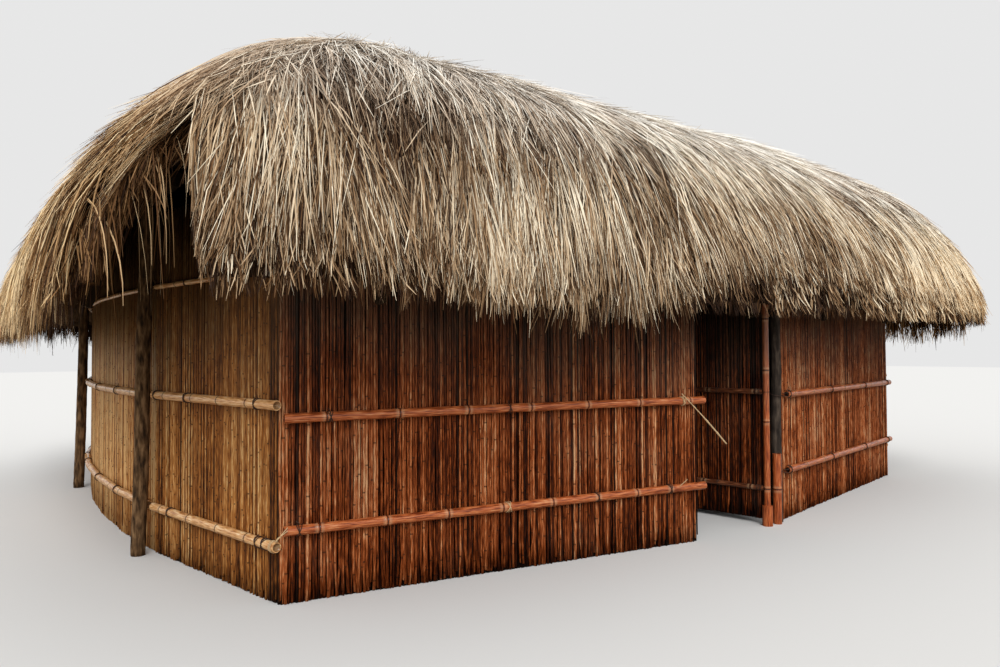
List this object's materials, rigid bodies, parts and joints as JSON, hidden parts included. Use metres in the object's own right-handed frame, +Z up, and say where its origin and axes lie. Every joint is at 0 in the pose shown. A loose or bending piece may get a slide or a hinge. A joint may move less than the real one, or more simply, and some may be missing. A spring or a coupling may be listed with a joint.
{
  "type": "thatched reed house",
  "caption": "Reed-walled house standing on the ground, with swelling walls, a domed shaggy grass roof and a reed door on a turning pole.",
  "frame": {"origin": "on the ground at the middle of the plan's bounding box", "axes": "+Z up, +X along the house towards its right end seen from the door side, -Y out of the doorway"},
  "size_m": [9.7, 8.88, 4.2199],
  "materials": {
    "golden_reed": "dry golden-brown reed",
    "red_reed": "red-brown varnished reed",
    "bamboo": "orange-red weathered bamboo",
    "dark_pole": "dark bark-stripped pole",
    "grass_thatch": "dry grass thatch"
  },
  "bodies": {
    "house": {"front_wall_left": "red_reed", "front_wall_right": "red_reed", "left_wall_front": "golden_reed", "left_wall_middle": "golden_reed", "left_wall_rear": "golden_reed", "right_wall_front": "golden_reed", "right_wall_middle": "golden_reed", "right_wall_rear": "golden_reed", "rear_wall_left": "red_reed", "rear_wall_middle": "red_reed", "rear_wall_right": "red_reed", "front_rails": "bamboo", "rear_rails": "bamboo", "left_end_rails": "bamboo", "right_end_rails": "bamboo", "inner_rails": "bamboo", "corner_posts": "dark_pole", "door_post": "dark_pole", "jamb_post": "dark_pole", "jamb_stub": "bamboo", "lintel": "dark_pole", "pivot_socket": "bamboo", "pivot_loop": "bamboo", "left_end_posts": "dark_pole", "right_end_posts": "dark_pole", "front_bearer": "dark_pole", "rear_bearer": "dark_pole", "end_bearers": "dark_pole", "purlins": "dark_pole", "ridge_pole": "dark_pole", "eave_rafters": "dark_pole", "rafters": "dark_pole", "upper_rafters": "dark_pole", "hip_rafters": "dark_pole", "long_battens": "dark_pole", "end_battens": "dark_pole", "thatch_front": "grass_thatch", "thatch_rear": "grass_thatch", "thatch_left": "grass_thatch", "thatch_right": "grass_thatch", "thatch_ridge": "grass_thatch", "tie_stick": "golden_reed"},
    "door": {"door_leaf": "red_reed", "door_rails": "bamboo", "pivot_pole": "bamboo"}
  },
  "joints": [
    {"name": "door_hinge", "type": "hinge", "parent": "house", "child": "door", "pos_m": [0.35, -3.99, 0], "axis": [0, 0, 1], "range_deg": [-25, 77]}
  ]
}
